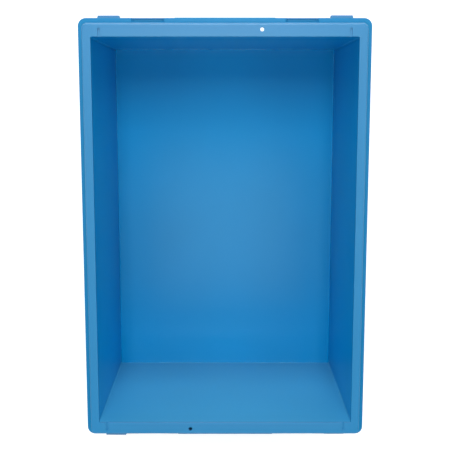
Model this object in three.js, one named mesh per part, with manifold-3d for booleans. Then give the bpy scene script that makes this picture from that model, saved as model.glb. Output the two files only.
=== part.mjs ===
// A solid-walled, open-topped 600 x 400 mm transport crate, built from panels.
// Millimetres, +Z up out of the open top. The origin is the centre of the footprint, on the ground.
// +Y runs along the length, +X along the width. Half sizes are measured from the middle.

import * as THREE from "three";
import { mergeVertices } from "three/addons/utils/BufferGeometryUtils.js";
import Module from "manifold-3d";

const wasm = await Module();
wasm.setup();

// ---- Driving dimensions -------------------------------------------------------------------

const HEIGHT = 280;
const HALF_LENGTH = 300; // to the outer face of the lid lugs
const SEAM = 0.3; // gap between two neighbouring pieces
const WALL = 3; // thickness of the wall panels, the floor and the rim's top
const SKIN = 2.8; // thickness of the skirts that hang from the rim and from the lip

const OPENING = { x: 179.6, y: 269.6, radius: 2 }; // inside the rim, at the top
const FLOOR = { x: 178.7, y: 265.4, z: 15, fillet: 1 }; // inside the crate, at the floor's top face

// The raised collar round the opening. Its sides lean out downwards, to the foot's size at the lip.
const COLLAR = { x: 191.3, y: 286.5, radius: 7, edge: 1.5, footX: 194.3, footY: 290.2 };
const LIP = { x: 200, y: 296, radius: 11, edge: 0.8, top: 256.3, bottom: 238 };
const RIM_LEG = { width: 2.2, bottom: 262 }; // the rim's inner leg, behind the wall panels
const GUSSET = { thick: 2, pitch: 50, endPitch: 60, lift: 3 }; // stiffeners under the rim and the lip

const GROOVE = { x: 168.3, end: 281.2, width: 3.6, depth: 1.6 };
const SEAL_HOLE = { x: 49.5, y: 279.2, radius: 2.65 };
// A notch lowers the lip's outer edge by its depth. Behind that edge is a pocket with a sloping back.
const NOTCH = { from: 82, to: 127.5, depth: 2.6, slope: 1.5, pocket: 4.4, back: 1.6, wall: 1.1 };
const HANDLE = { x: 68.8, proud: 0.5 };
const LUG = { from: 144.3, to: 174.8, height: 12, top: 250.8, lower: 3.5, chamfer: 1, nose: 1.2 };

const RIB = { thick: 2.4, x: 187.6, y: 282, top: 255 }; // x and y: how far out the ribs reach
const POST = { leg: 24, radius: 9.5, bottom: 12.3 };
const GRIP = { x: 66, bottom: 218, thick: 3.6, bead: 3, cheek: 4 };

const FOOT = { x: 177, y: 264.5, radius: 8, wall: 3.5, height: 9, cell: 58, rib: 3 };
const BASE = { x: 190, y: 281.5, radius: 11, innerX: 187, innerY: 278.3, top: 32, web: 2.7 };
const RIVET = { x: 182.6, y: 272.2, shank: 1.7, head: 3.2, headHeight: 1.6, length: 16, play: 0.3 };

const ARC_STEPS = 6; // segments in a quarter of a rounded corner
const BLUE = 0x3287c3;
const DARK_BLUE = 0x1f4f7a;

// ---- Solids -------------------------------------------------------------------------------

// A closed three.js geometry as a manifold solid.
function solid(geometry) {
  const bare = geometry.index ? geometry.toNonIndexed() : geometry.clone();
  bare.deleteAttribute("normal");
  bare.deleteAttribute("uv");
  const merged = mergeVertices(bare, 1e-4);
  return new wasm.Manifold(
    new wasm.Mesh({
      numProp: 3,
      vertProperties: merged.attributes.position.array,
      triVerts: new Uint32Array(merged.index.array),
    }),
  );
}

// The body as a three.js geometry. A place function moves each vertex to a new x and y.
function geometryOf(body, place = (x, y) => [x, y]) {
  const { numProp, numVert, vertProperties, triVerts } = body.getMesh();
  const positions = new Float32Array(numVert * 3);
  for (let i = 0; i < numVert; i++) {
    const [x, y, z] = vertProperties.subarray(i * numProp, i * numProp + 3);
    positions.set([...place(x, y, z), z], i * 3);
  }
  const geometry = new THREE.BufferGeometry();
  geometry.setAttribute("position", new THREE.BufferAttribute(positions, 3));
  geometry.setIndex(new THREE.BufferAttribute(new Uint32Array(triVerts), 1));
  geometry.computeVertexNormals();
  return geometry;
}

const moved = (body, place) => solid(geometryOf(body, place));

// The walls lean outwards a little, from the floor's size to the opening's size.
function drafted(x, y, z) {
  const drop = (HEIGHT - z) / (HEIGHT - FLOOR.z);
  return [x * (1 - (1 - FLOOR.x / OPENING.x) * drop), y * (1 - (1 - FLOOR.y / OPENING.y) * drop)];
}

// The collar's sides lean the other way, from its rounded edge out to its foot on the lip.
function splayed(x, y, z) {
  const edge = HEIGHT - COLLAR.edge;
  const drop = Math.max(0, edge - z) / (edge - LIP.top);
  const [outX, outY] = [COLLAR.footX - COLLAR.x, COLLAR.footY - COLLAR.y];
  return [x + Math.sign(x) * outX * drop, y + Math.sign(y) * outY * drop];
}

function roundedRect(halfX, halfY, radius) {
  const shape = new THREE.Shape();
  const quarter = Math.PI / 2;
  const centres = [[1, 1], [-1, 1], [-1, -1], [1, -1]];
  centres.forEach(([sx, sy], i) => {
    const start = i * quarter;
    shape.absarc(sx * (halfX - radius), sy * (halfY - radius), radius, start, start + quarter);
  });
  return shape;
}

// A prism of a plan outline. With an edge, both ends are rounded off inwards by that much.
function prism(shape, bottom, top, edge = 0, edgeSteps = 2) {
  const geometry = new THREE.ExtrudeGeometry(shape, {
    depth: top - bottom - 2 * edge,
    curveSegments: ARC_STEPS,
    bevelEnabled: edge > 0,
    bevelThickness: edge,
    bevelSize: edge,
    bevelOffset: -edge,
    bevelSegments: edgeSteps,
  });
  return solid(geometry.translate(0, 0, bottom + edge));
}

function box(x0, x1, y0, y1, z0, z1) {
  const geometry = new THREE.BoxGeometry(x1 - x0, y1 - y0, z1 - z0);
  return solid(geometry.translate((x0 + x1) / 2, (y0 + y1) / 2, (z0 + z1) / 2));
}

// A prism with only its top end rounded off. Its lower end is cut square, after any moving.
function softTopped(shape, bottom, top, edge, place) {
  const long = moved(prism(shape, bottom - 2 * edge, top, edge), place);
  const below = 2 * HALF_LENGTH;
  return long.subtract(box(-below, below, -below, below, bottom - 3 * edge, bottom));
}

function upright(x, y, radius, bottom, top, topRadius = radius) {
  const geometry = new THREE.CylinderGeometry(topRadius, radius, top - bottom, 16);
  return solid(geometry.rotateX(Math.PI / 2).translate(x, y, (bottom + top) / 2));
}

function polygon(points) {
  return new THREE.Shape(points.map(([x, y]) => new THREE.Vector2(x, y)));
}

// An outline in the X-Z plane, pushed along Y from y0 to y1.
function alongY(points, y0, y1) {
  const geometry = new THREE.ExtrudeGeometry(polygon(points), { depth: y1 - y0, bevelEnabled: false });
  return solid(geometry.rotateX(Math.PI / 2).translate(0, y1, 0));
}

const bothSigns = [1, -1];
const span = (sign, near, far) => (sign > 0 ? [near, far] : [-far, -near]);
const spread = (reach, step) => {
  const places = [];
  for (let at = -reach; at <= reach + 1e-6; at += step) places.push(at);
  return places;
};

// ---- Base ---------------------------------------------------------------------------------

// A shallow tray: its edge turns up in a fillet, and the wall panels stand on that edge.
function floorPanel() {
  const margin = WALL - 0.1;
  const top = FLOOR.z + FLOOR.fillet;
  const tray = prism(roundedRect(FLOOR.x + margin, FLOOR.y + margin, 4), FLOOR.z - WALL, top);
  const inside = roundedRect(FLOOR.x, FLOOR.y, FLOOR.fillet + 0.1);
  return tray.subtract(prism(inside, FLOOR.z, top + 3 * FLOOR.fillet, FLOOR.fillet, 3));
}

// The stacking foot, its rib grid, the web that rests on the crate below and the socket ring.
function baseFrame() {
  const webTop = FOOT.height + BASE.web;
  let frame = prism(roundedRect(BASE.x, BASE.y, BASE.radius), FOOT.height, BASE.top);
  frame = frame.subtract(prism(roundedRect(BASE.innerX, BASE.innerY, 8), webTop, BASE.top + 1));
  const innerX = FOOT.x - FOOT.wall;
  const innerY = FOOT.y - FOOT.wall;
  let foot = prism(roundedRect(FOOT.x, FOOT.y, FOOT.radius), 0, webTop - 1);
  foot = foot.subtract(prism(roundedRect(innerX, innerY, FOOT.radius - FOOT.wall), -1, FOOT.height));
  const half = FOOT.rib / 2;
  for (const x of spread(2 * FOOT.cell, FOOT.cell))
    foot = foot.add(box(x - half, x + half, -innerY - 1, innerY + 1, 0, webTop - 1));
  for (const y of spread(4 * FOOT.cell, FOOT.cell))
    foot = foot.add(box(-innerX - 1, innerX + 1, y - half, y + half, 0, webTop - 1));
  frame = frame.add(foot);
  for (const sx of bothSigns)
    for (const sy of bothSigns) {
      const [x, y] = [sx * RIVET.x, sy * RIVET.y];
      frame = frame.subtract(upright(x, y, RIVET.shank + RIVET.play, FOOT.height - 1, webTop + 1));
      const headRoom = RIVET.head + RIVET.play;
      frame = frame.subtract(upright(x, y, headRoom, FOOT.height - 1, FOOT.height + RIVET.headHeight + 0.2));
    }
  return frame;
}

// A push rivet, from its flush head under the web up into a corner post.
function baseRivet(x, y) {
  const head = upright(x, y, RIVET.head, FOOT.height + 0.1, FOOT.height + RIVET.headHeight);
  const shankTop = FOOT.height + RIVET.length;
  const shank = upright(x, y, RIVET.shank, FOOT.height + 1, shankTop - 2);
  const tip = upright(x, y, RIVET.shank, shankTop - 2.5, shankTop, RIVET.shank / 2);
  return head.add(shank).add(tip);
}

// ---- Wall panels and corner posts ---------------------------------------------------------

const PANEL = { bottom: FLOOR.z + FLOOR.fillet + SEAM, top: HEIGHT - WALL - SEAM };
const RETURN = OPENING.radius + 0.3; // the end walls turn the inside corner by this much

// A long wall: a plate that is smooth inside, with upright and level ribs outside.
function sideWall() {
  const reach = OPENING.y - RETURN - SEAM;
  let wall = box(OPENING.x, OPENING.x + WALL, -reach, reach, PANEL.bottom, PANEL.top);
  const root = OPENING.x + WALL - 0.2;
  const half = RIB.thick / 2;
  for (const y of spread(225, 50))
    wall = wall.add(box(root, RIB.x, y - half, y + half, PANEL.bottom, RIB.top));
  const levelReach = OPENING.y - POST.leg - 1;
  for (const z of [70, 140, 210])
    wall = wall.add(box(root, RIB.x - 1, -levelReach, levelReach, z - half, z + half));
  return wall;
}

// A short wall: its plate turns both inside corners, and its ribs leave room for a hand.
function endWall() {
  const outerX = OPENING.x + WALL;
  const foot = OPENING.y - RETURN;
  const centre = [OPENING.x - OPENING.radius, OPENING.y - OPENING.radius];
  const outline = new THREE.Shape();
  outline.moveTo(outerX, foot);
  outline.lineTo(outerX, OPENING.y + WALL);
  outline.lineTo(-outerX, OPENING.y + WALL);
  outline.lineTo(-outerX, foot);
  outline.lineTo(-OPENING.x, foot);
  outline.absarc(-centre[0], centre[1], OPENING.radius, Math.PI, Math.PI / 2, true);
  outline.absarc(centre[0], centre[1], OPENING.radius, Math.PI / 2, 0, true);
  outline.lineTo(OPENING.x, foot);
  let wall = prism(outline, PANEL.bottom, PANEL.top);
  const root = OPENING.y + WALL - 0.2;
  const half = RIB.thick / 2;
  const rib = (x0, x1, z0, z1, reach) => {
    wall = wall.add(box(x0, x1, root, reach, z0, z1));
  };
  for (const x of [80, 110, 140])
    for (const s of bothSigns) rib(s * x - half, s * x + half, PANEL.bottom, RIB.top, RIB.y);
  for (const x of spread(54, 27)) rib(x - half, x + half, PANEL.bottom, 150, RIB.y);
  const levelReach = OPENING.x - POST.leg - 1;
  rib(-levelReach, levelReach, 70 - half, 70 + half, RIB.y - 1);
  rib(-80, 80, 150 - half, 150 + half, RIB.y - 1);
  for (const s of bothSigns) rib(...span(s, 80, levelReach), 210 - half, 210 + half, RIB.y - 1);
  return wall;
}

// An angle that stands in the base frame and clasps both wall panels from outside.
function cornerPost(sx, sy) {
  const insideX = OPENING.x + WALL + SEAM;
  const insideY = OPENING.y + WALL + SEAM;
  const outline = new THREE.Shape();
  outline.moveTo(insideX - POST.leg, insideY);
  outline.lineTo(insideX, insideY);
  outline.lineTo(insideX, insideY - POST.leg);
  outline.lineTo(RIB.x, insideY - POST.leg);
  outline.absarc(RIB.x - POST.radius, RIB.y - POST.radius, POST.radius, 0, Math.PI / 2);
  outline.lineTo(insideX - POST.leg, RIB.y);
  const mirrored = outline.getPoints(ARC_STEPS).map((p) => [sx * p.x, sy * p.y]);
  const post = prism(polygon(mirrored), POST.bottom, RIB.top);
  const [scaleX, scaleY] = drafted(1, 1, POST.bottom);
  const hole = RIVET.shank + RIVET.play;
  const top = FOOT.height + RIVET.length + 1;
  return post.subtract(upright((sx * RIVET.x) / scaleX, (sy * RIVET.y) / scaleY, hole, 0, top));
}

// ---- Rim, lip, grips and lugs -------------------------------------------------------------

// The collar: a flat top round the opening, an outer skirt and a leg behind the wall panels.
function topRim() {
  const bottom = LIP.top + SEAM;
  const underside = HEIGHT - WALL;
  const outside = roundedRect(COLLAR.x, COLLAR.y, COLLAR.radius);
  const skirtInside = roundedRect(COLLAR.x - SKIN, COLLAR.y - SKIN, COLLAR.radius - 2);
  const legX = OPENING.x + WALL + SEAM;
  const legY = OPENING.y + WALL + SEAM;
  const legOutside = roundedRect(legX + RIM_LEG.width, legY + RIM_LEG.width, 3);

  // The room under the rim: between skirt and leg, less the gussets, and behind the leg.
  let room = moved(prism(skirtInside, bottom - 1, underside), splayed);
  room = room.subtract(prism(legOutside, RIM_LEG.bottom, HEIGHT));
  const half = GUSSET.thick / 2;
  const gussetHeight = [RIM_LEG.bottom + 1, HEIGHT];
  for (const s of bothSigns) {
    for (const y of spread(5 * GUSSET.pitch, GUSSET.pitch))
      room = room.subtract(box(...span(s, legX, LIP.x), y - half, y + half, ...gussetHeight));
    for (const x of spread(2 * GUSSET.endPitch, GUSSET.endPitch))
      room = room.subtract(box(x - half, x + half, ...span(s, legY, LIP.y), ...gussetHeight));
  }
  room = room.add(prism(roundedRect(legX, legY, 1), bottom - 1, underside));

  let rim = softTopped(outside, bottom, HEIGHT, COLLAR.edge, splayed).subtract(room);
  rim = rim.subtract(prism(roundedRect(OPENING.x, OPENING.y, OPENING.radius), bottom - 1, HEIGHT + 1));
  const flare = roundedRect(OPENING.x + 1, OPENING.y + 1, OPENING.radius + 1);
  rim = rim.subtract(prism(flare, HEIGHT - 1.2, HEIGHT + 3, 1.2, 1));
  const grooveHalf = GROOVE.width / 2;
  const grooveHeight = [HEIGHT - GROOVE.depth, HEIGHT + 1];
  for (const s of bothSigns) {
    const [holeX, holeY] = [s * SEAL_HOLE.x, s * SEAL_HOLE.y];
    rim = rim.subtract(upright(holeX, holeY, SEAL_HOLE.radius, underside - 1, HEIGHT + 1));
    for (const x of [GROOVE.x, -GROOVE.x]) {
      const end = GROOVE.end - grooveHalf;
      const length = span(s, OPENING.y - 2, end);
      rim = rim.subtract(box(x - grooveHalf, x + grooveHalf, ...length, ...grooveHeight));
      rim = rim.subtract(upright(x, s * end, grooveHalf, ...grooveHeight));
    }
  }
  return rim;
}

// What one notch takes out of the rear end: all of the ledge down to its depth, and a pocket below.
function notchCutter(side) {
  const trough = (width, floor, top, outerY) => {
    const outline = [
      [side * (NOTCH.from + width), top],
      [side * (NOTCH.from + NOTCH.slope + width), floor],
      [side * (NOTCH.to - NOTCH.slope - width), floor],
      [side * (NOTCH.to - width), top],
    ];
    const back = (z) => COLLAR.footY + (NOTCH.back * (LIP.top - z)) / NOTCH.pocket;
    return moved(alongY(outline, 0, 1), (x, y, z) => [x, y < 0.5 ? back(z) : outerY]);
  };
  const step = LIP.top - NOTCH.depth;
  const shallow = trough(0, step, LIP.top + 1, LIP.y + 2);
  return shallow.add(trough(NOTCH.slope, LIP.top - NOTCH.pocket, step + 1, LIP.y - NOTCH.wall));
}

// The lip under the collar: a ledge with four notches, and a skirt that hangs from it.
function lipBand() {
  const ledge = LIP.top - WALL;
  const innerX = COLLAR.x - SKIN;
  const innerY = COLLAR.y - SKIN;
  const half = GUSSET.thick / 2;
  const gussetHeight = [LIP.bottom + GUSSET.lift, LIP.top];

  // The room under the ledge, less the notches' floors and the gussets.
  let room = prism(roundedRect(LIP.x - SKIN, LIP.y - SKIN, LIP.radius - 2), LIP.bottom - 1, ledge);
  for (const sx of bothSigns)
    for (const sy of bothSigns) {
      const width = span(sx, NOTCH.from - WALL, NOTCH.to + WALL);
      room = room.subtract(box(...width, ...span(sy, 0, LIP.y), ledge - NOTCH.pocket, LIP.top));
    }
  for (const s of bothSigns) {
    for (const y of spread(5 * GUSSET.pitch, GUSSET.pitch))
      room = room.subtract(box(...span(s, 0, LIP.x), y - half, y + half, ...gussetHeight));
    for (const x of [-160, -76, 76, 160])
      room = room.subtract(box(x - half, x + half, ...span(s, 0, LIP.y), ...gussetHeight));
  }
  room = room.add(prism(roundedRect(innerX, innerY, COLLAR.radius - 2), LIP.bottom - 1, LIP.top + 1));

  let lip = softTopped(roundedRect(LIP.x, LIP.y, LIP.radius), LIP.bottom, LIP.top, LIP.edge);
  for (const s of bothSigns) {
    const proud = span(s, LIP.y - 1, LIP.y + HANDLE.proud);
    lip = lip.add(box(-HANDLE.x, HANDLE.x, ...proud, LIP.bottom, LIP.top - LIP.edge));
  }
  lip = lip.subtract(room);
  for (const side of bothSigns) {
    const cutter = notchCutter(side);
    lip = lip.subtract(cutter).subtract(moved(cutter, (x, y) => [-x, -y]));
  }
  return lip;
}

// The hand grip under the lip of a short end: an apron with a bead, and a cheek at each end.
function grip() {
  const outer = LIP.y + HANDLE.proud - 0.4;
  const top = LIP.bottom - SEAM;
  const inner = outer - GRIP.thick;
  let body = box(-GRIP.x, GRIP.x, inner, outer, GRIP.bottom + GRIP.bead, top);
  const bead = new THREE.CylinderGeometry(GRIP.bead, GRIP.bead, 2 * GRIP.x, 16).rotateZ(Math.PI / 2);
  const beadY = outer - GRIP.bead;
  body = body.add(solid(bead.translate(0, beadY, GRIP.bottom + GRIP.bead)));
  for (const s of bothSigns) {
    const x = span(s, GRIP.x - GRIP.cheek, GRIP.x);
    body = body.add(box(...x, OPENING.y + WALL, inner + 1, GRIP.bottom + GRIP.bead, top));
    const tenonY = LIP.y - SKIN - SEAM;
    body = body.add(box(...x, COLLAR.y + SEAM, tenonY, top - 2, LIP.top - WALL - SEAM));
  }
  return body;
}

// A lug on the lip's end face, for a lid's catch. Its outer end slopes and its inner end is round.
function lidLug(side, lowered) {
  const root = LIP.y + SEAM;
  const outline = new THREE.Shape();
  outline.moveTo(LUG.from, root);
  outline.lineTo(LUG.from, HALF_LENGTH - LUG.nose);
  outline.absarc(LUG.from + LUG.nose, HALF_LENGTH - LUG.nose, LUG.nose, Math.PI, Math.PI / 2, true);
  outline.lineTo(LUG.to - LUG.chamfer, HALF_LENGTH);
  outline.lineTo(LUG.to, root);
  const mirrored = outline.getPoints(ARC_STEPS).map((p) => [side * p.x, p.y]);
  const top = LUG.top - (lowered ? LUG.lower : 0);
  return prism(polygon(mirrored), top - LUG.height, top);
}

// ---- Assembly -----------------------------------------------------------------------------

function piece(name, body, { leans = false, colour = BLUE, roughness = 0.45 } = {}) {
  const material = new THREE.MeshStandardMaterial({ color: colour, roughness, metalness: 0 });
  const mesh = new THREE.Mesh(geometryOf(body, leans ? drafted : undefined), material);
  mesh.name = name;
  return mesh;
}

const crate = new THREE.Group();
const base = new THREE.Group();
const shell = new THREE.Group();
const top = new THREE.Group();
crate.add(base, shell, top);

base.add(piece("base_frame", baseFrame()), piece("floor_panel", floorPanel()));
shell.add(piece("side_wall_right", sideWall(), { leans: true }));
shell.add(piece("end_wall_rear", endWall(), { leans: true }));
top.add(piece("top_rim", topRim()), piece("lip_band", lipBand()), piece("hand_grip_rear", grip()));
top.add(piece("lid_lug_rear_right", lidLug(1, false)), piece("lid_lug_rear_left", lidLug(-1, true)));

for (const [end, sy] of [["rear", 1], ["front", -1]])
  for (const [side, sx] of [["right", 1], ["left", -1]]) {
    shell.add(piece(`corner_post_${end}_${side}`, cornerPost(sx, sy), { leans: true }));
    const rivet = baseRivet(sx * RIVET.x, sy * RIVET.y);
    base.add(piece(`base_rivet_${end}_${side}`, rivet, { colour: DARK_BLUE, roughness: 0.5 }));
  }

// The crate looks the same after half a turn, so the other end and side are turned copies.
const turned = new THREE.Group();
turned.rotation.z = Math.PI;
turned.add(piece("side_wall_left", sideWall(), { leans: true }));
turned.add(piece("end_wall_front", endWall(), { leans: true }));
turned.add(piece("hand_grip_front", grip()));
turned.add(piece("lid_lug_front_left", lidLug(1, false)), piece("lid_lug_front_right", lidLug(-1, true)));
crate.add(turned);

export default crate;
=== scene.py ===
"""A blue, solid-walled, open-topped 600 x 400 mm transport crate, seen from above its opening.

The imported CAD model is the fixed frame. Each moulding is built again here with rounded edges, fillets and
drafted ribs, in the place of its CAD node. Sizes are given in millimetres, and MM turns them into metres.
"""

import math

import bmesh
import bpy
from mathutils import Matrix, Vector


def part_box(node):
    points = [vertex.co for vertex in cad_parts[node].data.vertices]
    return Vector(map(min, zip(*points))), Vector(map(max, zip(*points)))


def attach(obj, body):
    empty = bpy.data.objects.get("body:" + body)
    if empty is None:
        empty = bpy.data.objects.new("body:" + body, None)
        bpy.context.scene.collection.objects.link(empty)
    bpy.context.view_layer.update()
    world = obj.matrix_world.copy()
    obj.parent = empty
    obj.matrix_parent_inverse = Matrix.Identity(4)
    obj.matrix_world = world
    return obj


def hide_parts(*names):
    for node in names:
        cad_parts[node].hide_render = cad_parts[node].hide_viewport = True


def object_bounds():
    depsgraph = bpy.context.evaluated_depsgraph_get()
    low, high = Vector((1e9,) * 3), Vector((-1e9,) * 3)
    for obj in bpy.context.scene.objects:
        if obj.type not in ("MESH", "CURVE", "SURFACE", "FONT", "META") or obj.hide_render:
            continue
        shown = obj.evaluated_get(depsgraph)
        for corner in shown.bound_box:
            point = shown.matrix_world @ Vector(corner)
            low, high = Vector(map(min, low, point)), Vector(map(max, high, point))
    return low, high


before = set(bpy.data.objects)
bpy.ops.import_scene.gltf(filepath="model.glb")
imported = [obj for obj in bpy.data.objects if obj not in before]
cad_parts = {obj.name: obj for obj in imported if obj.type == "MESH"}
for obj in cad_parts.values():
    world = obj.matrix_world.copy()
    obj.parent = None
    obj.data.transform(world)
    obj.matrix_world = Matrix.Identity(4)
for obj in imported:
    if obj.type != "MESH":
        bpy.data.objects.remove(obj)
cad_low, cad_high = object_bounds()

MM = 0.001
SIDES = (1, -1)

# ---- Driving sizes, from the frame where it has them, otherwise in millimetres ---------------

HEIGHT = cad_high.z / MM
LIP_X = cad_high.x / MM
LIP_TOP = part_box("lip_band")[1].z / MM
LIP_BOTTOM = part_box("lip_band")[0].z / MM
HANDLE_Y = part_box("lip_band")[1].y / MM
LUG_Y = cad_high.y / MM
BASE_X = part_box("base_frame")[1].x / MM
BASE_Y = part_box("base_frame")[1].y / MM
BASE_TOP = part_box("base_frame")[1].z / MM
FLOOR_EDGE_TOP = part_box("floor_panel")[1].z / MM
FLOOR_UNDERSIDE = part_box("floor_panel")[0].z / MM
PANEL_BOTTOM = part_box("side_wall_right")[0].z / MM
PANEL_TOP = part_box("side_wall_right")[1].z / MM
RIB_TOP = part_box("corner_post_rear_right")[1].z / MM
POST_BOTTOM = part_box("corner_post_rear_right")[0].z / MM

SEAM = 0.3
WALL = 3.0
SKIN = 2.8
HANDLE_PROUD = 0.5
LIP_Y = HANDLE_Y - HANDLE_PROUD
FLOOR_TOP = FLOOR_UNDERSIDE + WALL
RIM_UNDERSIDE = HEIGHT - WALL
RIM_BOTTOM = LIP_TOP + SEAM
LEDGE = LIP_TOP - WALL

# An outline is (half size along X, half size along Y, corner radius).
OPENING = (179.6, 269.6, 2.0)
FLOOR = (178.7, 265.4, 2.1)
COLLAR = (191.3, 286.5, 7.0)
COLLAR_FOOT = (194.3, 290.2, 7.0)  # the collar's sides lean out to this size at the lip
SKIRT_INSIDE = (COLLAR[0] - SKIN, COLLAR[1] - SKIN, 5.0)
LIP = (LIP_X, LIP_Y, 11.0)
LEG_INSIDE = (182.9, 272.9, 1.0)
LEG_OUTSIDE = (185.1, 275.1, 3.2)
LEG_BOTTOM = 262.0

RIB_X, RIB_Y = 187.6, 282.0  # how far the ribs on the long and the short walls reach out
RIB_HALF, RIB_DRAFT = 1.4, 0.4  # half a rib's thickness at its root, and the taper of each of its sides
GUSSET_HALF = 1.0  # half the thickness of the stiffeners under the rim and the lip
NOTCH = {"from": 82.0, "to": 127.5, "depth": 2.6, "slope": 1.5, "pocket": 4.4, "back": 1.6, "wall": 1.1}
LUG = {"from": 144.3, "to": 174.8, "height": 12.0, "chamfer": 1.0, "nose": 1.2}
GROOVE = {"x": 168.3, "end": 281.2, "half": 1.8, "depth": 1.6}
SEAL_HOLE = {"x": 49.5, "y": 279.2, "radius": 2.65}
HANDLE_X = 68.8  # half the length of the prouder stretch of lip above a hand grip
CORNER_STEPS = 10


# ---- Mesh helpers ----------------------------------------------------------------------------

def grown(outline, by):
    """The same rounded rectangle, moved outwards by so many millimetres."""
    x, y, radius = outline
    return x + by, y + by, max(radius + by, 0.05)


def ring_at(outline, z, steps=CORNER_STEPS):
    """The points of a rounded rectangle at height z, counter-clockwise."""
    half_x, half_y, radius = outline
    points = []
    for quarter, (sx, sy) in enumerate(((1, 1), (-1, 1), (-1, -1), (1, -1))):
        for i in range(steps + 1):
            angle = (quarter + i / steps) * math.pi / 2
            x = sx * (half_x - radius) + radius * math.cos(angle)
            y = sy * (half_y - radius) + radius * math.sin(angle)
            points.append((x, y, z))
    return points


def rounding(outline, offset, z, radius, start, end, steps=4):
    """Rings along an arc in the section: its centre lies offset outside the outline, at height z."""
    rings = []
    for i in range(steps + 1):
        angle = math.radians(start + (end - start) * i / steps)
        moved = grown(outline, offset + radius * math.cos(angle))
        rings.append(ring_at(moved, z + radius * math.sin(angle)))
    return rings


def loft(name, rings, closed=False):
    """Joins rings of equal length with quads. A closed loft is a torus; an open one has end caps."""
    mesh = bpy.data.meshes.new(name)
    bm = bmesh.new()
    rows = [[bm.verts.new(Vector(p) * MM) for p in ring] for ring in rings]
    count = len(rows[0])
    pairs = list(zip(rows, rows[1:]))
    if closed:
        pairs.append((rows[-1], rows[0]))
    else:
        bm.faces.new(rows[0])
        bm.faces.new(rows[-1])
    for lower, upper in pairs:
        for i in range(count):
            j = (i + 1) % count
            bm.faces.new((lower[i], lower[j], upper[j], upper[i]))
    bmesh.ops.recalc_face_normals(bm, faces=bm.faces)
    bm.to_mesh(mesh)
    bm.free()
    obj = bpy.data.objects.new(name, mesh)
    bpy.context.scene.collection.objects.link(obj)
    return obj


def block(x0, x1, y0, y1, z0, z1, lean=0.0, lean_axes=""):
    """A box. With lean_axes "xy", its far end along X is narrower along Y by lean on each side."""
    corners = [[x, y, z] for z in (z0, z1) for x, y in ((x0, y0), (x1, y0), (x1, y1), (x0, y1))]
    if lean_axes:
        along, breadth = ("xyz".index(axis) for axis in lean_axes)
        far = max((p[along] for p in corners), key=abs)
        middle = sum(p[breadth] for p in corners) / len(corners)
        for p in corners:
            if p[along] == far:
                p[breadth] += lean if p[breadth] < middle else -lean
    return loft("block", [corners[:4], corners[4:]])


def cylinder(x, y, radius, z0, z1, steps=24):
    """An upright cylinder."""
    rings = []
    for z in (z0, z1):
        ring = []
        for i in range(steps):
            angle = 2 * math.pi * i / steps
            ring.append((x + radius * math.cos(angle), y + radius * math.sin(angle), z))
        rings.append(ring)
    return loft("cylinder", rings)


def apply_modifiers(obj):
    """Replaces the object's mesh by what its modifiers make of it."""
    graph = bpy.context.evaluated_depsgraph_get()
    made = bpy.data.meshes.new_from_object(obj.evaluated_get(graph))
    obj.modifiers.clear()
    old, obj.data = obj.data, made
    bpy.data.meshes.remove(old)


def combine(obj, others, operation):
    """Adds or cuts the other solids, which are used up."""
    for other in others:
        modifier = obj.modifiers.new("join", "BOOLEAN")
        modifier.operation = operation
        modifier.solver = "MANIFOLD"
        modifier.object = other
    bpy.context.view_layer.update()
    apply_modifiers(obj)
    for other in others:
        bpy.data.meshes.remove(other.data)


def flatten(obj, degrees=0.5):
    """Merges the flat triangles that a boolean leaves into whole faces."""
    bm = bmesh.new()
    bm.from_mesh(obj.data)
    bmesh.ops.remove_doubles(bm, verts=bm.verts, dist=1e-6)
    bmesh.ops.dissolve_limit(bm, angle_limit=math.radians(degrees), verts=bm.verts, edges=bm.edges)
    bm.to_mesh(obj.data)
    bm.free()


def soften(obj, width, segments=2, degrees=35):
    """Rounds the sharp edges off by width millimetres and shades the result smooth."""
    bevel = obj.modifiers.new("edges", "BEVEL")
    bevel.width = width * MM
    bevel.segments = segments
    bevel.limit_method = "ANGLE"
    bevel.angle_limit = math.radians(degrees)
    bevel.use_clamp_overlap = True
    bevel.miter_outer = "MITER_ARC"
    apply_modifiers(obj)
    shade(obj)


def shade(obj):
    """Smooth shading that stays flat on large faces and sharp at steep edges."""
    for polygon in obj.data.polygons:
        polygon.use_smooth = True
    obj.data.set_sharp_from_angle(angle=math.radians(50))
    weighted = obj.modifiers.new("normals", "WEIGHTED_NORMAL")
    weighted.keep_sharp = True
    weighted.weight = 100


def lean_out(obj):
    """The walls' draft: from the floor's size at the floor to the opening's size at the rim."""
    for vertex in obj.data.vertices:
        drop = (HEIGHT - vertex.co.z / MM) / (HEIGHT - FLOOR_TOP)
        vertex.co.x *= 1 - (1 - FLOOR[0] / OPENING[0]) * drop
        vertex.co.y *= 1 - (1 - FLOOR[1] / OPENING[1]) * drop


def turned(obj, name):
    """A copy turned by half a turn about the upright axis."""
    copy = obj.copy()
    copy.data = obj.data.copy()
    copy.name = name
    for vertex in copy.data.vertices:
        vertex.co.x *= -1
        vertex.co.y *= -1
    bpy.context.scene.collection.objects.link(copy)
    return copy


def spread(reach, step):
    """Evenly spaced places from -reach to reach."""
    return [-reach + i * step for i in range(int(round(2 * reach / step)) + 1)]


def across(side, near, far):
    """The interval from near to far on the given side of the middle, lowest value first."""
    return sorted((side * near, side * far))


# ---- Rim and lip -----------------------------------------------------------------------------

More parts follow.
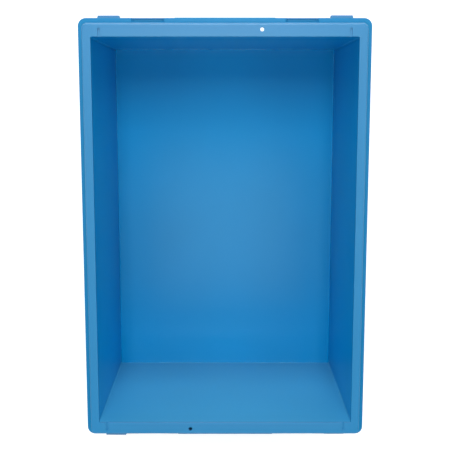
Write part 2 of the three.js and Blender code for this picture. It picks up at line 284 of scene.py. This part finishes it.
def make_rim():
    """The collar round the opening, with its skirt outside and its leg behind the wall panels."""
    rings = rounding(OPENING, 0.6, HEIGHT - 0.6, 0.6, 180, 90, 5)
    rings += collar_edge()
    rings += rounding(COLLAR_FOOT, -0.5, RIM_BOTTOM + 0.5, 0.5, 0, -90, 3)
    rings += rounding(COLLAR_FOOT, 0.5 - SKIN, RIM_BOTTOM + 0.5, 0.5, -90, -180, 3)
    rings += rounding(COLLAR, -SKIN - 1.0, RIM_UNDERSIDE - 1.0, 1.0, 0, 90, 3)
    rings += rounding(LEG_OUTSIDE, 0.8, RIM_UNDERSIDE - 0.8, 0.8, 90, 180, 3)
    rings += rounding(LEG_OUTSIDE, -0.5, LEG_BOTTOM + 0.5, 0.5, 0, -90, 3)
    rings += rounding(LEG_INSIDE, 0.5, LEG_BOTTOM + 0.5, 0.5, -90, -180, 3)
    rings.append(ring_at(LEG_INSIDE, RIM_UNDERSIDE))
    rings.append(ring_at(OPENING, RIM_UNDERSIDE))
    rim = loft("rim", rings, closed=True)
    heights = (LEG_BOTTOM + 1, RIM_UNDERSIDE + 0.2)
    gussets = []
    for side in SIDES:
        for y in spread(250, 50):
            x0, x1 = across(side, LEG_OUTSIDE[0] - 0.2, SKIRT_INSIDE[0] + 2.0)
            gussets.append(block(x0, x1, y - GUSSET_HALF, y + GUSSET_HALF, *heights))
        for x in spread(120, 60):
            y0, y1 = across(side, LEG_OUTSIDE[1] - 0.2, SKIRT_INSIDE[1] + 2.2)
            gussets.append(block(x - GUSSET_HALF, x + GUSSET_HALF, y0, y1, *heights))
    combine(rim, gussets, "UNION")
    combine(rim, seal_holes() + rim_grooves(), "DIFFERENCE")
    flatten(rim, 0.1)
    soften(rim, 0.3, 2, 40)
    return rim


def collar_edge(steps=6):
    """The collar's rounded outer edge, a little wider on the short ends."""
    x, y, radius = COLLAR
    rings = []
    for i in range(steps + 1):
        angle = math.pi / 2 * (1 - i / steps)
        inset = 1 - math.cos(angle)
        z = HEIGHT - 1.5 * (1 - math.sin(angle))
        rings.append(ring_at((x - 1.5 * inset, y - 1.7 * inset, radius - 1.5 * inset), z))
    return rings


def seal_holes():
    """One seal hole at each end of the rim, half a turn apart."""
    x, y, radius = SEAL_HOLE["x"], SEAL_HOLE["y"], SEAL_HOLE["radius"]
    return [cylinder(s * x, s * y, radius, RIM_UNDERSIDE - 1, HEIGHT + 1) for s in SIDES]


def rim_grooves():
    """Four shallow grooves run from the opening towards the ends and stop in a round end."""
    half, start, end = GROOVE["half"], OPENING[1] - 3, GROOVE["end"] - GROOVE["half"]
    cutters = []
    for sx in SIDES:
        for sy in SIDES:
            x = sx * GROOVE["x"]
            rings = []
            for z in (HEIGHT - GROOVE["depth"], HEIGHT + 1):
                ring = [(x - half, sy * start, z), (x + half, sy * start, z)]
                for i in range(13):
                    angle = math.pi * i / 12
                    ring.append((x + half * math.cos(angle), sy * (end + half * math.sin(angle)), z))
                rings.append(ring)
            cutters.append(loft("groove", rings))
    return cutters


def make_lip():
    """The ledge under the collar and the skirt that hangs from it, with four notches in the short ends."""
    rings = [ring_at(SKIRT_INSIDE, LIP_TOP)]
    rings += rounding(LIP, -0.7, LIP_TOP - 0.7, 0.7, 90, 0, 4)
    rings += rounding(LIP, -0.6, LIP_BOTTOM + 0.6, 0.6, 0, -90, 3)
    rings += rounding(LIP, 0.6 - SKIN, LIP_BOTTOM + 0.6, 0.6, -90, -180, 3)
    rings += rounding(LIP, -SKIN - 1.2, LEDGE - 1.2, 1.2, 0, 90, 3)
    rings.append(ring_at(SKIRT_INSIDE, LEDGE))
    lip = loft("lip", rings, closed=True)
    pocket_floor = LIP_TOP - NOTCH["pocket"]
    extra = []
    for side in SIDES:
        y0, y1 = across(side, LIP_Y - 1, HANDLE_Y)
        extra.append(block(-HANDLE_X, HANDLE_X, y0, y1, LIP_BOTTOM + 0.3, LIP_TOP - 0.35, 0.5, "yx"))
        for sx in SIDES:
            x0, x1 = across(sx, NOTCH["from"] - WALL, NOTCH["to"] + WALL)
            y0, y1 = across(side, SKIRT_INSIDE[1], LIP_Y - 1.5)
            extra.append(block(x0, x1, y0, y1, pocket_floor - WALL, LEDGE + 1))
        for y in spread(250, 50):
            x0, x1 = across(side, SKIRT_INSIDE[0], LIP_X - 1.5)
            extra.append(block(x0, x1, y - GUSSET_HALF, y + GUSSET_HALF, LIP_BOTTOM + 3, LEDGE + 1))
        for x in (-160, -76, 76, 160):
            y0, y1 = across(side, SKIRT_INSIDE[1], LIP_Y - 1.5)
            extra.append(block(x - GUSSET_HALF, x + GUSSET_HALF, y0, y1, LIP_BOTTOM + 3, LEDGE + 1))
    combine(lip, extra, "UNION")
    combine(lip, notches(), "DIFFERENCE")
    flatten(lip, 0.1)
    soften(lip, 0.3, 2, 40)
    return lip


def notches():
    """Each notch lowers the lip's outer edge and has a pocket with a sloping back behind that edge."""
    step = LIP_TOP - NOTCH["depth"]
    pocket_floor = LIP_TOP - NOTCH["pocket"]
    cutters = []
    for sx in SIDES:
        for sy in SIDES:
            cutters.append(trough(sx, sy, 0.0, step, LIP_TOP + 1, LIP_Y + 2))
            cutters.append(trough(sx, sy, NOTCH["slope"], pocket_floor, step + 1, LIP_Y - NOTCH["wall"]))
    return cutters


def trough(sx, sy, inset, floor, top, outer_y):
    """A cutter with sloping ends, from the notch's sloping back out to outer_y."""
    slope = NOTCH["slope"]
    section = (
        (NOTCH["from"] + inset, top),
        (NOTCH["from"] + inset + slope, floor),
        (NOTCH["to"] - inset - slope, floor),
        (NOTCH["to"] - inset, top),
    )
    backs = [COLLAR_FOOT[1] + NOTCH["back"] * (LIP_TOP - z) / NOTCH["pocket"] for _, z in section]
    inner = [(sx * x, sy * back, z) for (x, z), back in zip(section, backs)]
    outer = [(sx * x, sy * outer_y, z) for x, z in section]
    return loft("notch", [inner, outer])


def make_lug(name, side, end, top):
    """A lug on the lip's end face: its outer end slopes and its inner end is round."""
    root = LIP_Y + SEAM
    nose = LUG["nose"]
    plan = [(LUG["from"], root)]
    for i in range(6):
        angle = math.pi - math.pi / 2 * i / 5
        plan.append((LUG["from"] + nose + nose * math.cos(angle), LUG_Y - nose + nose * math.sin(angle)))
    plan += [(LUG["to"] - LUG["chamfer"], LUG_Y), (LUG["to"], root)]
    rings = [[(side * x, end * y, z) for x, y in plan] for z in (top - LUG["height"], top)]
    lug = loft(name, rings)
    soften(lug, 0.2, 2, 30)
    return lug


# ---- Walls, posts and floor ------------------------------------------------------------------

GRIP_ROOM_BOTTOM = 150.0  # the ribs in the middle of a short wall end here, to leave room for a hand


def make_side_wall():
    """The right-hand long wall: smooth inside, with drafted upright and level ribs outside."""
    x0, x1 = OPENING[0], OPENING[0] + WALL
    reach = OPENING[1] - OPENING[2] - 2 * SEAM
    wall = block(x0, x1, -reach, reach, PANEL_BOTTOM, PANEL_TOP)
    ribs = []
    for y in spread(225, 50):
        rib = (x1 - 0.2, RIB_X, y - RIB_HALF, y + RIB_HALF, PANEL_BOTTOM, RIB_TOP)
        ribs.append(block(*rib, RIB_DRAFT, "xy"))
    for z in (70, 140, 210):
        ribs.append(block(x1 - 0.2, RIB_X - 1, -245, 245, z - RIB_HALF, z + RIB_HALF, RIB_DRAFT, "xz"))
    combine(wall, ribs, "UNION")
    flatten(wall)
    soften(wall, 0.35, 2, 35)
    lean_out(wall)
    return wall


def make_end_wall():
    """The rear short wall: it turns both inside corners in a fillet and leaves room for a hand."""
    inside_x, inside_y, fillet = OPENING
    outer_x, outer_y = inside_x + WALL, inside_y + WALL
    foot = inside_y - fillet - SEAM
    plan = [(outer_x, foot), (outer_x, outer_y), (-outer_x, outer_y), (-outer_x, foot)]
    plan.append((-inside_x, foot))
    for sign, start in ((-1, math.pi), (1, math.pi / 2)):
        for i in range(9):
            angle = start - math.pi / 2 * i / 8
            x = sign * (inside_x - fillet) + fillet * math.cos(angle)
            plan.append((x, inside_y - fillet + fillet * math.sin(angle)))
    plan.append((inside_x, foot))
    wall = loft("end_wall", [[(x, y, z) for x, y in plan] for z in (PANEL_BOTTOM, PANEL_TOP)])
    root = outer_y - 0.2
    uprights = [(side * x, RIB_TOP) for side in SIDES for x in (80, 110, 140)]
    uprights += [(x, GRIP_ROOM_BOTTOM) for x in spread(54, 27)]
    levels = [(-154, 154, 70), (-80, 80, GRIP_ROOM_BOTTOM)]
    levels += [(*across(side, 80, 154), 210) for side in SIDES]
    ribs = []
    for x, top in uprights:
        ribs.append(block(x - RIB_HALF, x + RIB_HALF, root, RIB_Y, PANEL_BOTTOM, top, RIB_DRAFT, "yx"))
    for x0, x1, z in levels:
        ribs.append(block(x0, x1, root, RIB_Y - 1, z - RIB_HALF, z + RIB_HALF, RIB_DRAFT, "yz"))
    combine(wall, ribs, "UNION")
    flatten(wall)
    soften(wall, 0.35, 2, 35)
    lean_out(wall)
    return wall


def make_post(name, sx, sy):
    """An angle with a rounded outer corner and a shallow flute down each leg."""
    inside_x, inside_y = OPENING[0] + WALL + SEAM, OPENING[1] + WALL + SEAM
    leg, radius, flute = 24.0, 9.5, 0.8
    plan = [(inside_x - leg, inside_y), (inside_x, inside_y)]
    plan += [(inside_x, inside_y - leg), (RIB_X, inside_y - leg)]
    for y, depth in ((-18.5, 0), (-17.5, flute), (-13.5, flute), (-12.5, 0)):
        plan.append((RIB_X - depth, inside_y + y))
    for i in range(9):
        angle = math.pi / 2 * i / 8
        plan.append((RIB_X - radius + radius * math.cos(angle), RIB_Y - radius + radius * math.sin(angle)))
    for x, depth in ((-12.5, 0), (-13.5, flute), (-17.5, flute), (-18.5, 0)):
        plan.append((inside_x + x, RIB_Y - depth))
    plan.append((inside_x - leg, RIB_Y))
    post = loft(name, [[(sx * x, sy * y, z) for x, y in plan] for z in (POST_BOTTOM, RIB_TOP)])
    soften(post, 0.5, 2, 35)
    lean_out(post)
    return post


def make_floor():
    """A shallow tray whose edge turns up in a fillet."""
    edge = (FLOOR[0] + WALL - 0.1, FLOOR[1] + WALL - 0.1, 4.0)
    fillet = FLOOR_EDGE_TOP - FLOOR_TOP
    rings = rounding(edge, -0.5, FLOOR_UNDERSIDE + 0.5, 0.5, -90, 0, 3)
    rings += rounding(edge, -0.3, FLOOR_EDGE_TOP - 0.3, 0.3, 0, 90, 2)
    rings += rounding(FLOOR, -fillet, FLOOR_EDGE_TOP, fillet, 0, -90, 8)
    floor = loft("floor", rings)
    shade(floor)
    return floor


# ---- Base ------------------------------------------------------------------------------------

FOOT = (177.0, 264.5, 8.0)
FOOT_HEIGHT = 9.0
WEB_TOP = 11.7
RIVET_X, RIVET_Y = 182.6, 272.2
RIVET_HOLE, RIVET_RECESS, RECESS_DEPTH = 2.0, 3.5, 1.8  # radius of the hole, and its recess for the head


def make_base():
    """Stacking foot, rib grid, web and socket ring in one moulding."""
    socket = (187.0, 278.3, 8.0)
    outer = (BASE_X, BASE_Y, 11.0)
    foot_inside = grown(FOOT, -3.5)
    rings = [ring_at(socket, WEB_TOP)]
    rings += rounding(socket, 0.6, BASE_TOP - 0.6, 0.6, 180, 90, 3)
    rings += rounding(outer, -1.0, BASE_TOP - 1.0, 1.0, 90, 0, 3)
    rings += rounding(outer, -1.2, FOOT_HEIGHT + 1.2, 1.2, 0, -90, 3)
    rings += rounding(FOOT, 0.8, FOOT_HEIGHT - 0.8, 0.8, 90, 180, 3)
    rings += rounding(FOOT, -1.0, 1.0, 1.0, 0, -90, 3)
    rings += rounding(foot_inside, 0.5, 0.5, 0.5, -90, -180, 3)
    rings.append(ring_at(foot_inside, FOOT_HEIGHT))
    base = loft("base", rings)
    cell, half = 58.0, 1.5
    reach_x, reach_y = foot_inside[0] + 0.8, foot_inside[1] + 0.8
    ribs = []
    for x in spread(2 * cell, cell):
        ribs.append(block(x - half, x + half, -reach_y, reach_y, 0, FOOT_HEIGHT + 0.5))
    for y in spread(4 * cell, cell):
        ribs.append(block(-reach_x, reach_x, y - half, y + half, 0, FOOT_HEIGHT + 0.5))
    combine(base, ribs, "UNION")
    holes = []
    for sx in SIDES:
        for sy in SIDES:
            x, y = sx * RIVET_X, sy * RIVET_Y
            holes.append(cylinder(x, y, RIVET_HOLE, FOOT_HEIGHT - 1, WEB_TOP + 1))
            holes.append(cylinder(x, y, RIVET_RECESS, FOOT_HEIGHT - 1, FOOT_HEIGHT + RECESS_DEPTH))
    combine(base, holes, "DIFFERENCE")
    flatten(base, 0.1)
    soften(base, 0.3, 2, 40)
    return base


def make_grip():
    """The rear hand grip: an apron with a rounded lower bead and a cheek at each end."""
    outer = HANDLE_Y - 0.4
    thick, bead, low = 3.6, 3.0, 218.0
    top = LIP_BOTTOM - SEAM
    section = [(outer, top), (outer - thick, top), (outer - thick, low + 2 * bead + 1.5)]
    for i in range(13):
        angle = math.radians(150 + 210 * i / 12)
        section.append((outer - bead + bead * math.cos(angle), low + bead + bead * math.sin(angle)))
    half = 66.0
    grip = loft("grip", [[(x, y, z) for y, z in section] for x in (-half, half)])
    parts = []
    for side in SIDES:
        x0, x1 = across(side, half, half - 4)
        parts.append(block(x0, x1, OPENING[1] + WALL, outer - thick + 1, low + bead, top))
        parts.append(block(x0, x1, COLLAR[1] + SEAM, LIP_Y - SKIN - SEAM, top - 2, LEDGE - SEAM))
    for x in spread(44, 22):
        parts.append(block(x - 1, x + 1, outer - thick - 1.2, outer - 1, low + 2 * bead, top))
    combine(grip, parts, "UNION")
    flatten(grip, 0.1)
    soften(grip, 0.5, 2, 40)
    return grip


# ---- Materials -------------------------------------------------------------------------------

PLASTIC_IOR = 1.49
NEUTRAL = (1, 1, 1)


def moulded_plastic(name, colour, roughness, grain, grain_depth, scuff=0.0, sheen=NEUTRAL, ior=PLASTIC_IOR):
    """Injection-moulded polypropylene: faint colour drift, fine mould grain and lighter worn edges.

    grain is the noise scale and grain_depth its height in millimetres. scuff is how much lighter worn edges
    are, and sheen tints the reflections that are seen face on.
    """
    material = bpy.data.materials.new(name)
    material.use_nodes = True
    nodes, links = material.node_tree.nodes, material.node_tree.links
    shader = nodes["Principled BSDF"]
    shader.inputs["IOR"].default_value = ior
    shader.inputs["Specular Tint"].default_value = (*sheen, 1)
    place = nodes.new("ShaderNodeTexCoord")

    drift = nodes.new("ShaderNodeTexNoise")
    drift.inputs["Scale"].default_value = 7.0
    drift.inputs["Detail"].default_value = 3.0
    links.new(place.outputs["Object"], drift.inputs["Vector"])
    tint = nodes.new("ShaderNodeValToRGB")
    tint.color_ramp.elements[0].position = 0.3
    tint.color_ramp.elements[0].color = (*(c * 0.975 for c in colour), 1)
    tint.color_ramp.elements[1].position = 0.7
    tint.color_ramp.elements[1].color = (*(min(c * 1.025, 1) for c in colour), 1)
    links.new(drift.outputs["Fac"], tint.inputs["Fac"])

    edges = nodes.new("ShaderNodeNewGeometry")
    worn = nodes.new("ShaderNodeMapRange")
    worn.inputs["From Min"].default_value = 0.53
    worn.inputs["From Max"].default_value = 0.62
    worn.inputs["To Max"].default_value = scuff
    links.new(edges.outputs["Pointiness"], worn.inputs["Value"])
    mix = nodes.new("ShaderNodeMix")
    mix.data_type = "RGBA"
    mix.inputs["B"].default_value = (*(0.75 * c + 0.2 for c in colour), 1)
    links.new(worn.outputs["Result"], mix.inputs["Factor"])
    links.new(tint.outputs["Color"], mix.inputs["A"])
    links.new(mix.outputs["Result"], shader.inputs["Base Color"])

    fine = nodes.new("ShaderNodeTexNoise")
    fine.inputs["Scale"].default_value = grain
    fine.inputs["Detail"].default_value = 4.0
    links.new(place.outputs["Object"], fine.inputs["Vector"])
    gloss = nodes.new("ShaderNodeMapRange")
    gloss.inputs["To Min"].default_value = roughness - 0.05
    gloss.inputs["To Max"].default_value = roughness + 0.05
    links.new(fine.outputs["Fac"], gloss.inputs["Value"])
    links.new(gloss.outputs["Result"], shader.inputs["Roughness"])
    bump = nodes.new("ShaderNodeBump")
    bump.inputs["Strength"].default_value = 0.25
    bump.inputs["Distance"].default_value = grain_depth * MM
    links.new(fine.outputs["Fac"], bump.inputs["Height"])
    links.new(bump.outputs["Normal"], shader.inputs["Normal"])
    return material


# Colours are linear red, green and blue. The inside of the front wall is painted a paler blue, a painted
# highlight standing in for the light that falls on its lit face.
PANEL_BLUE = (0.0, 0.27, 0.60)
PAINTED_LIT_BLUE = (0.045, 0.320, 0.56)
FRAME_BLUE = (0.003, 0.190, 0.42)
RIVET_BLUE = (0.008, 0.055, 0.130)
DEEP_SHEEN = (0.1, 0.85, 1.0)
FLOOR_SHEEN = (0.50, 0.92, 1.0)
LIP_SHEEN = (0.5, 0.9, 1.0)
PANEL_PLASTIC = moulded_plastic("panel_plastic", PANEL_BLUE, 0.30, 900.0, 0.02, sheen=DEEP_SHEEN)
# A paler copy of the panel plastic: a painted highlight for the front wall's lit inside face.
PAINTED_LIT_PLASTIC = moulded_plastic("painted_lit_plastic", PAINTED_LIT_BLUE, 0.34, 900.0, 0.02)
FLOOR_PLASTIC = moulded_plastic("floor_plastic", PANEL_BLUE, 0.20, 900.0, 0.01, sheen=FLOOR_SHEEN)
FRAME_PLASTIC = moulded_plastic("frame_plastic", FRAME_BLUE, 0.40, 1200.0, 0.03, 0.12, ior=1.56)  # glossier
LIP_PLASTIC = moulded_plastic("lip_plastic", FRAME_BLUE, 0.40, 1200.0, 0.03, 0.12, LIP_SHEEN)
RIVET_PLASTIC = moulded_plastic("rivet_plastic", RIVET_BLUE, 0.35, 1500.0, 0.01)


# ---- Assembly --------------------------------------------------------------------------------

def install(piece, node, material):
    """Puts a finished piece in the place of its CAD node."""
    piece.name = node + "_moulding"
    piece.data.materials.clear()
    piece.data.materials.append(material)
    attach(piece, "root")
    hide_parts(node)


install(make_rim(), "top_rim", FRAME_PLASTIC)
install(make_lip(), "lip_band", LIP_PLASTIC)
install(make_base(), "base_frame", FRAME_PLASTIC)
install(make_floor(), "floor_panel", FLOOR_PLASTIC)

side_wall = make_side_wall()
end_wall = make_end_wall()
grip_piece = make_grip()
install(turned(side_wall, "left"), "side_wall_left", PANEL_PLASTIC)
install(side_wall, "side_wall_right", PANEL_PLASTIC)
# The front wall gets the paler plastic, a painted highlight for its lit inside face.
install(turned(end_wall, "front"), "end_wall_front", PAINTED_LIT_PLASTIC)
install(end_wall, "end_wall_rear", PANEL_PLASTIC)
install(turned(grip_piece, "front"), "hand_grip_front", FRAME_PLASTIC)
install(grip_piece, "hand_grip_rear", FRAME_PLASTIC)

for end, sy in (("rear", 1), ("front", -1)):
    for side, sx in (("right", 1), ("left", -1)):
        post_node = f"corner_post_{end}_{side}"
        install(make_post("post", sx, sy), post_node, FRAME_PLASTIC)
        lug_node = f"lid_lug_{end}_{side}"
        lug_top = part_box(lug_node)[1].z / MM
        install(make_lug("lug", sx, sy, lug_top), lug_node, FRAME_PLASTIC)
        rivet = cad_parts[f"base_rivet_{end}_{side}"]
        rivet.data.materials.clear()
        rivet.data.materials.append(RIVET_PLASTIC)


# ---- Camera, light and floor -----------------------------------------------------------------

CAMERA_TILT = 8.766
CAMERA_PLACE = (0.0, 0.1978, 1.4609)
LENS = 69.41

camera_data = bpy.data.cameras.new("camera")
camera_data.lens = LENS
camera_data.sensor_width = 36
camera = bpy.data.objects.new("camera", camera_data)
camera.location = CAMERA_PLACE
camera.rotation_euler = (-math.radians(CAMERA_TILT), 0, 0)
bpy.context.scene.collection.objects.link(camera)
bpy.context.scene.camera = camera


def softbox(name, place, aim, size, power):
    """A square area light that points at aim."""
    data = bpy.data.lights.new(name, "AREA")
    data.shape = "SQUARE"
    data.size = size
    data.energy = power
    light = bpy.data.objects.new(name, data)
    light.location = place
    light.rotation_euler = (Vector(aim) - Vector(place)).to_track_quat("-Z", "Y").to_euler()
    bpy.context.scene.collection.objects.link(light)


AIM = (0, 0, 0.15)
LIGHT_REACH = 3.0
# name: azimuth from +X and height above the horizon, both in degrees, size in metres, power in watts
LIGHTS = {
    "key": (90, 67, 0.9, 36),
    "window": (90, 25, 0.9, 48),
    "fill": (-90, 38, 0.9, 19.5),
    "overhead": (-90, 80.5, 0.8, 5.4),
    "right": (0, 60, 0.9, 9),
    "left": (180, 60, 0.9, 9),
    "low_right": (0, 30, 0.9, 10),
    "low_left": (180, 30, 0.9, 10),
}
for name, (azimuth, height, size, power) in LIGHTS.items():
    level = LIGHT_REACH * math.cos(math.radians(height))
    x = level * math.cos(math.radians(azimuth))
    y = level * math.sin(math.radians(azimuth))
    softbox(name, (x, y, AIM[2] + LIGHT_REACH * math.sin(math.radians(height))), AIM, size, power)

world = bpy.data.worlds.new("studio")
world.use_nodes = True
world.node_tree.nodes["Background"].inputs["Color"].default_value = (1, 1, 1, 1)
world.node_tree.nodes["Background"].inputs["Strength"].default_value = 0.22
bpy.context.scene.world = world
bpy.context.scene.view_settings.view_transform = "Standard"


STAGE_RADIUS, STAGE_THICKNESS = 40000.0, 20.0


def make_stage():
    """A wide pale floor that the crate stands on."""
    floor = cylinder(0, 0, STAGE_RADIUS, -STAGE_THICKNESS, 0.0, 64)
    floor.name = "studio_floor"
    material = bpy.data.materials.new("studio_floor")
    material.use_nodes = True
    shader = material.node_tree.nodes["Principled BSDF"]
    shader.inputs["Base Color"].default_value = (0.93, 0.93, 0.93, 1)
    shader.inputs["Roughness"].default_value = 0.9
    shader.inputs["Emission Color"].default_value = (1, 1, 1, 1)
    shader.inputs["Emission Strength"].default_value = 0.3
    floor.data.materials.append(material)


make_stage()
